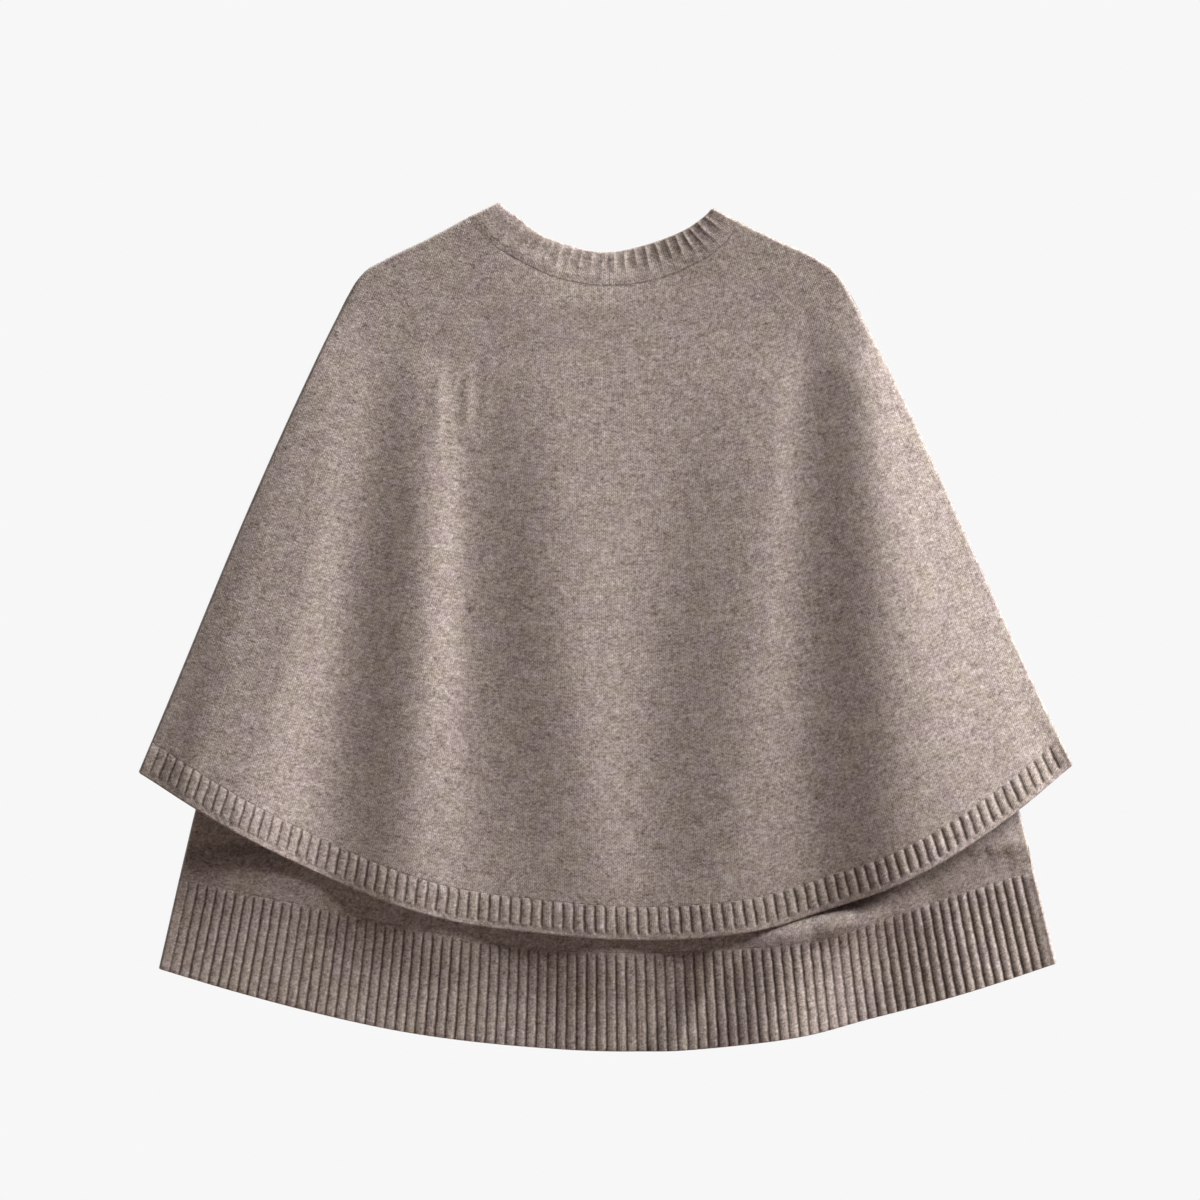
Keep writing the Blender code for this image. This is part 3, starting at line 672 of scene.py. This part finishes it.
def panel(name, layer, neck, grid, near, finish):
    """A plain wall, rounded along the neckline at its top and along the hem band at its bottom."""
    tube = layer.tube
    columns, rows = grid
    top_line, ends = tube.top(neck)
    length = float(tube.hem_radius(0) - tube.band_height(0.5) - SEAM - np.interp(0, *top_line))
    stops = panel_stops(length, rows)
    x, y, below = tube_grid(tube, top_line, plain_columns(columns),
                            [(down, down, down * SEAM) for down in stops])
    outer, inner, distance = wall_points(x, y, near, layer.top(x, y), layer.bottom(x, y), WALL,
                                         layer.folds)
    angle, radius = to_polar(np.stack([x, y], -1), tube.apex)
    # An angle times the panel's greatest length stands for a distance along the neckline
    from_end = np.minimum(angle - ends[0], ends[1] - angle) * below[-1].max()
    from_seam = below + NECK_CORNER_GAP * (1 - ease(from_end / NECK_CORNER))
    outer, inner = round_edges(outer, inner, from_seam, NECK_SEAM_ROUNDING, neck_seam_kept(x))
    to_band = (1 - stops)[:, None] * length
    outer, inner = round_edges(outer, inner, to_band, SEAM_ROUNDING, SEAM_KEPT)
    # The mark: painted shade along the neckband's seam, less painted light along the folds
    mark = neck_seam_shade(x, from_seam) - painted_fold_light(x, distance)
    return shell(name, outer, inner, np.stack([angle, radius * MM, mark], -1), near, finish)


def ribbed_band(name, layer, rows, near, finish):
    """A ribbed hem, whose ribs fade out above a plain strip if it has one.

    A far one lies on the floor, so its ribs are in its wool alone: their grooves are only painted
    shade.
    """
    tube, ribs = layer.tube, layer.ribs
    columns = rib_columns(ribs.count)
    height = tube.band_height(0.5)
    down = band_stops(height, rows, SEAM_ROUNDING, EDGE_ROUNDING)
    top_line, _ = tube.top(BACK_NECK)
    x, y, _ = tube_grid(tube, top_line, columns, [(1, 1 - at / height, 0) for at in down])
    above_strip = 1.0
    if ribs.plain_strip:
        above_strip = 1 - ease((down - height * (1 - ribs.plain_strip)) / STRIP_FADE + 0.5)
    from_fold = ease(np.minimum(columns[0], 1 - columns[0]) * ribs.count / FOLD_RIBS)
    ribbed = np.outer(ease((down + RIBS_LEAD) / ribs.start) * above_strip, from_fold)
    groove, broad = (part * ribbed for part in groove_share(columns[0], down, ribs.count))
    roundness = np.interp(columns[0], *zip(*ROUNDNESS))
    lowered = RIB_RISE * (1 - ease(down / RISE_LENGTH) * above_strip)
    let_in = (groove * ribs.depth + broad * roundness) * near + lowered[:, None]
    outer, inner, distance = wall_points(x, y, near, layer.top(x, y) + RIB_RISE, layer.bottom(x, y),
                                         WALL + RIB_RISE * near, layer.folds, let_in)
    outer, inner = round_edges(outer, inner, (height - down)[:, None], EDGE_ROUNDING)
    outer, inner = round_edges(outer, inner, down[:, None], SEAM_ROUNDING, SEAM_KEPT)
    # The mark: painted shade in the grooves, less painted light along the folds
    knit = np.stack(np.broadcast_arrays(columns[0] * ribs.count * RIB_WALES,
                                        (down / COURSE)[:, None], groove - painted_fold_light(x, distance)), -1)
    return shell(name, outer, inner, knit, near, finish)


def neckband(name, neck, near, finish):
    """Half of the neckband, a double rib, from the seam up to its rounded top edge."""
    share, offset = rib_columns(NECK_RIBS)
    along = np.concatenate([[0], np.cumsum(np.hypot(*np.diff(neck[:, :2], axis=0).T))])
    at = share * along[-1] + offset
    seam_x, seam_y, edge_x, edge_y = (np.interp(at, along, neck[:, i]) for i in range(4))
    height = np.hypot(edge_x - seam_x, edge_y - seam_y)
    stops = band_stops(height.max(), NECKBAND_ROWS, NECK_SEAM_ROUNDING, NECK_EDGE_ROUNDING)
    rows = (stops / height.max())[:, None]
    up = rows * height
    x = seam_x + (edge_x - seam_x) * rows
    y = seam_y + (edge_y - seam_y) * rows
    strength = np.interp(rows, *zip(*NECK_FADE))
    from_fold = ease(np.minimum(share, 1 - share) * NECK_RIBS / NECK_END_RIBS)
    hollow = 1 - groove_share(share, stops, NECK_RIBS)[1] ** NECK_RIDGE_SHARPNESS
    hollow = hollow * strength * from_fold
    join = sum(np.exp(-((x - at_x) / JOIN_WIDTH) ** 2) for at_x in JOIN_X) * near
    rounded = NECK_EDGE_DROP * ease((rows - NECK_EDGE_START) / (1 - NECK_EDGE_START))
    lowered = RIB_RISE * (1 - ease(up / NECK_RISE_LENGTH))
    let_in = hollow * NECK_HOLLOW - join * JOIN_RISE + rounded + lowered
    outer, inner, _ = wall_points(x, y, near, cape_top(x, y) + RIB_RISE, on_floor(x, y), BAND_WALL,
                                  NECK_FOLDS, let_in)
    outer, inner = round_edges(outer, inner, height - up, NECK_EDGE_ROUNDING)
    outer, inner = round_edges(outer, inner, up, NECK_SEAM_ROUNDING, neck_seam_kept(x))
    # The mark: painted shade in the hollows and along the seam
    mark = hollow * NECK_HOLLOW_SHADE + neck_seam_shade(x, up)
    knit = np.stack(np.broadcast_arrays(share * NECK_RIBS * RIB_WALES, up / COURSE, mark), -1)
    return shell(name, outer[::-1], inner[::-1], knit[::-1], near, finish)


# ---- Materials -----------------------------------------------------------------------------------

class Graph:
    """Short ways to add nodes to one material."""

    def __init__(self, name):
        self.material = bpy.data.materials.new(name)
        self.material.use_nodes = True
        self.tree = self.material.node_tree
        self.shader = self.tree.nodes["Principled BSDF"]

    def set(self, socket, value):
        """Links a socket to another one, or gives it a plain value."""
        if isinstance(value, bpy.types.NodeSocket):
            self.tree.links.new(value, socket)
        else:
            socket.default_value = value

    def node(self, kind, **settings):
        made = self.tree.nodes.new(kind)
        for name, value in settings.items():
            setattr(made, name, value)
        return made

    def math(self, operation, *values):
        made = self.node("ShaderNodeMath", operation=operation)
        for socket, value in zip(made.inputs, values):
            self.set(socket, value)
        return made.outputs[0]

    def vector(self, x, y, z=0.0):
        made = self.node("ShaderNodeCombineXYZ")
        for socket, value in zip(made.inputs, (x, y, z)):
            self.set(socket, value)
        return made.outputs[0]

    def noise(self, vector, scale, detail=2.0, roughness=0.5):
        made = self.node("ShaderNodeTexNoise")
        self.set(made.inputs["Vector"], vector)
        made.inputs["Scale"].default_value = scale
        made.inputs["Detail"].default_value = detail
        made.inputs["Roughness"].default_value = roughness
        return made.outputs["Fac"]

    def random(self, vector):
        """A random number for each whole vector."""
        made = self.node("ShaderNodeTexWhiteNoise", noise_dimensions="3D")
        self.set(made.inputs["Vector"], vector)
        return made.outputs["Value"]

    def mix(self, share, first, second):
        made = self.node("ShaderNodeMix", data_type="RGBA")
        self.set(made.inputs["Factor"], share)
        self.set(made.inputs["A"], first)
        self.set(made.inputs["B"], second)
        return made.outputs["Result"]

    def between(self, value, low, high, to_low=0.0, to_high=1.0):
        """Takes low to to_low and high to to_high, and goes past neither."""
        made = self.node("ShaderNodeMapRange")
        for socket, given in zip(made.inputs, (value, low, high, to_low, to_high)):
            self.set(socket, given)
        return made.outputs["Result"]

    def spread(self, value, reach=0.5):
        """A tone from -1 to 1 of a value that is within reach of 0.5."""
        return self.between(value, 0.5 - reach, 0.5 + reach, -1, 1)


def stitches(g, place, stored, ribbed):
    """Wale and course of each point, which waver a little.

    On a plain wall, wales are added from band to band down the garment, along an uneven line.
    """
    if ribbed:
        wale, course = stored[0], stored[1]
    else:
        angle, radius = stored[0], stored[1]
        band = g.math("DIVIDE", radius, INCREASE_BAND * MM)
        band = g.math("FLOOR", g.math("ADD", band, g.noise(place, INCREASE_SCALE)))
        wale = g.math("MULTIPLY", angle, g.math("MULTIPLY", band, INCREASE_BAND / WALE))
        course = g.math("DIVIDE", radius, COURSE * MM)
    lines = []
    for line, waver in [(wale, WALE_WAVER), (course, COURSE_WAVER)]:
        aside = g.math("MULTIPLY", g.noise(place, waver.scale, 1.0), waver.strength)
        lines.append(g.math("ADD", line, aside))
    return lines


def loops(g, wale, course):
    """Height of the loops of plain knit, from 0 to 1, and a random number for each leg."""
    side = g.math("MULTIPLY", wale, 2.0)
    leg = g.math("FLOOR", side)
    across = g.math("PINGPONG", side, 1.0)
    phase = g.math("ADD", course, g.math("MULTIPLY", across, LEG_SLANT))
    row = g.math("FLOOR", phase)
    strand = g.math("SINE", g.math("MULTIPLY", g.math("FRACT", phase), math.pi))
    width = g.math("SINE", g.math("MULTIPLY", g.math("FRACT", side), math.pi))
    height = g.math("MULTIPLY", g.math("POWER", strand, STRAND_ROUNDNESS),
                    g.math("POWER", width, LEG_ROUNDNESS))
    return height, g.random(g.vector(leg, row, 0.5))


def fibres(g, wale, course):
    """Noise drawn out along slanting fibres."""
    slant = g.math("ADD", wale, g.math("MULTIPLY", course, FIBRE_SLANT))
    across = g.math("MULTIPLY", slant, FIBRE_ACROSS)
    down = g.math("MULTIPLY", course, FIBRE_DOWN)
    return g.noise(g.vector(across, down), 1.0, FIBRE_DETAIL, FIBRE_ROUGHNESS)


def streaks(g, wale, course):
    """Noise over a few stitches at a time."""
    across = g.math("MULTIPLY", wale, STREAK_ACROSS)
    down = g.math("MULTIPLY", course, STREAK_DOWN)
    return g.noise(g.vector(across, down), 1.0)


def wool_tone(g, place, height, leg, fibre, streak):
    """How much lighter the wool is than its own colour, or how much darker, below 0: at random, and
    as painted shade between the loops.
    """
    speck = g.noise(place, SPECK_SCALE, 1.0)
    # The loops' height adds painted shade between them
    tones = [(g.spread(leg), LEG_TONE), (g.spread(height), LOOP_SHADE_TONE),
             (g.spread(fibre, FIBRE_SPREAD), FIBRE_TONE),
             (g.spread(streak, NOISE_SPREAD), STREAK_TONE)]
    tones += [(g.between(speck, kind.start, kind.full), kind.tone) for kind in SPECKS]
    tones += [(g.spread(g.noise(place, fleck.scale), NOISE_SPREAD), fleck.strength)
              for fleck in HEATHER]
    tone = 0.0
    for value, strength in tones:
        tone = g.math("ADD", tone, g.math("MULTIPLY", value, strength))
    return tone


def wool_colour(g, place, tone, mark):
    """Tinted wool, lighter or darker by its tone, with painted shade in grooves, hollows and seams
    and painted light along the folds.
    """
    colour = g.mix(g.between(g.noise(place, TINT_SCALE), *TINT_RANGE), WOOL_VIOLET, WOOL_OLIVE)
    colour = g.mix(0.5, colour, WOOL)
    colour = g.mix(tone, colour, WOOL_LIGHT)
    colour = g.mix(g.math("MULTIPLY", tone, -1.0), colour, WOOL_DARK)
    # Painted shade in grooves, hollows and seams, frayed by noise
    jag = g.between(g.noise(place, JAG_SCALE), 0.5 - NOISE_SPREAD, 0.5 + NOISE_SPREAD, *PAINTED_SHADE_JAG)
    groove = g.between(g.math("MULTIPLY", mark, jag), *PAINTED_SHADE_RANGE)
    colour = g.mix(g.math("MULTIPLY", groove, PAINTED_SHADE_TONE), colour, PAINTED_SHADE_COLOUR)
    # Painted light along the folds
    return g.mix(g.math("MULTIPLY", mark, -FOLD_LIGHT_TONE), colour, FOLD_LIGHT_COLOUR)


def wool(name, ribbed):
    """Brushed heather wool knit."""
    g = Graph(name)
    split = g.node("ShaderNodeSeparateXYZ")
    g.set(split.inputs[0], g.node("ShaderNodeAttribute", attribute_name="knit").outputs["Vector"])
    place = g.node("ShaderNodeTexCoord").outputs["Object"]
    wale, course = stitches(g, place, split.outputs, ribbed)
    height, leg = loops(g, wale, course)
    fibre = fibres(g, wale, course)
    tone = wool_tone(g, place, height, leg, fibre, streaks(g, wale, course))
    g.set(g.shader.inputs["Base Color"], wool_colour(g, place, tone, split.outputs[2]))
    g.shader.inputs["Roughness"].default_value = ROUGHNESS
    g.shader.inputs["Specular IOR Level"].default_value = SPECULAR
    g.shader.inputs["Sheen Weight"].default_value = SHEEN
    g.shader.inputs["Sheen Roughness"].default_value = SHEEN_ROUGHNESS
    g.shader.inputs["Sheen Tint"].default_value = SHEEN_TINT
    bump = g.node("ShaderNodeBump")
    bump.inputs["Strength"].default_value = BUMP_STRENGTH
    bump.inputs["Distance"].default_value = BUMP_HEIGHT * MM
    g.set(bump.inputs["Height"], g.math("ADD", g.math("MULTIPLY", height, LOOP_RELIEF), fibre))
    g.set(g.shader.inputs["Normal"], bump.outputs[0])
    return g.material


# ---- Stage ---------------------------------------------------------------------------------------

def camera():
    """The view straight down from far above."""
    data = bpy.data.cameras.new("camera")
    data.sensor_width = SENSOR
    data.lens = SENSOR * CAMERA_HEIGHT / FRAME_WIDTH
    data.clip_end = CAMERA_REACH
    made = bpy.data.objects.new("camera", data)
    made.location = (CAMERA_X, CAMERA_Y, CAMERA_HEIGHT)
    bpy.context.scene.collection.objects.link(made)
    bpy.context.scene.camera = made


def soft_light(name, azimuth, elevation, size, strength, colour):
    """A broad far light, with its direction and its apparent size in degrees."""
    data = bpy.data.lights.new(name, "SUN")
    data.energy = strength
    data.angle = math.radians(size)
    data.color = colour
    made = bpy.data.objects.new(name, data)
    azimuth, elevation = math.radians(azimuth), math.radians(elevation)
    towards = Vector((math.cos(azimuth) * math.cos(elevation),
                      math.sin(azimuth) * math.cos(elevation), math.sin(elevation)))
    made.rotation_euler = towards.to_track_quat("Z", "Y").to_euler()
    bpy.context.scene.collection.objects.link(made)


def surroundings():
    """A faint even light from all sides."""
    world = bpy.data.worlds.new("studio")
    world.use_nodes = True
    background = world.node_tree.nodes["Background"]
    background.inputs["Color"].default_value = SHADE_COLOUR + (1,)
    background.inputs["Strength"].default_value = AMBIENT
    bpy.context.scene.world = world


def floor():
    """A floor that glows in an even white."""
    data = bpy.data.meshes.new("floor")
    size = FLOOR_REACH
    corners = [(-size, -size), (size, -size), (size, size), (-size, size)]
    data.from_pydata([(x, y, -FLOOR_GAP) for x, y in corners], [], [(0, 1, 2, 3)])
    made = bpy.data.objects.new("floor", data)
    material = bpy.data.materials.new("white table")
    material.use_nodes = True
    shader = material.node_tree.nodes["Principled BSDF"]
    shader.inputs["Base Color"].default_value = FLOOR_COLOUR
    shader.inputs["Roughness"].default_value = FLOOR_ROUGHNESS
    shader.inputs["Specular IOR Level"].default_value = 0.0
    shader.inputs["Emission Color"].default_value = (1, 1, 1, 1)
    shader.inputs["Emission Strength"].default_value = FLOOR_GLOW
    data.materials.append(material)
    bpy.context.scene.collection.objects.link(made)


# ---- The garment ---------------------------------------------------------------------------------

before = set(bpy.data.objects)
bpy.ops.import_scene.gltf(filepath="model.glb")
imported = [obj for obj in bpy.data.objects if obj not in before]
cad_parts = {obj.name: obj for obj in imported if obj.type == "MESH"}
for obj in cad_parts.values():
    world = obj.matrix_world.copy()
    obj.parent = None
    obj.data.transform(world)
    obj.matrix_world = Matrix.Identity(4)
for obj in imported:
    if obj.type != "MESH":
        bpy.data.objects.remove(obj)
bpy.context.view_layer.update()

camera()
soft_light("key", KEY_AZIMUTH, KEY_ELEVATION, KEY_SIZE, KEY_STRENGTH, KEY_COLOUR)
soft_light("fill", FILL_AZIMUTH, FILL_ELEVATION, FILL_SIZE, FILL_STRENGTH, SHADE_COLOUR)
surroundings()
floor()
bpy.context.scene.view_settings.view_transform = "Standard"

plain = wool("plain_knit", ribbed=False)
rib = wool("rib_knit", ribbed=True)
cape = Layer(CAPE, cape_top, on_floor, NECK_FOLDS, CAPE_HEM_RIBS)
body = Layer(BODY, body_top, body_bottom, BODY.folds, BODY_HEM_RIBS)
pieces = {
    "cape_back": panel("cape_back_knit", cape, BACK_NECK, CAPE_BACK_GRID, True, plain),
    "cape_front": panel("cape_front_knit", cape, FRONT_NECK, FRONT_GRID, False, plain),
    "body_back": panel("body_back_knit", body, BACK_NECK, BODY_BACK_GRID, True, plain),
    "body_front": panel("body_front_knit", body, FRONT_NECK, FRONT_GRID, False, plain),
    "cape_back_hem": ribbed_band("cape_back_hem_knit", cape, CAPE_BACK_HEM_ROWS, True, rib),
    "cape_front_hem": ribbed_band("cape_front_hem_knit", cape, CAPE_FRONT_HEM_ROWS, False, rib),
    "body_back_hem": ribbed_band("body_back_hem_knit", body, BODY_BACK_HEM_ROWS, True, rib),
    "body_front_hem": ribbed_band("body_front_hem_knit", body, BODY_FRONT_HEM_ROWS, False, rib),
    "neckband_back": neckband("neckband_back_knit", BACK_NECK, True, rib),
    "neckband_front": neckband("neckband_front_knit", FRONT_NECK, False, rib),
}
for node, piece in pieces.items():
    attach(piece, "root")
    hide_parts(node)
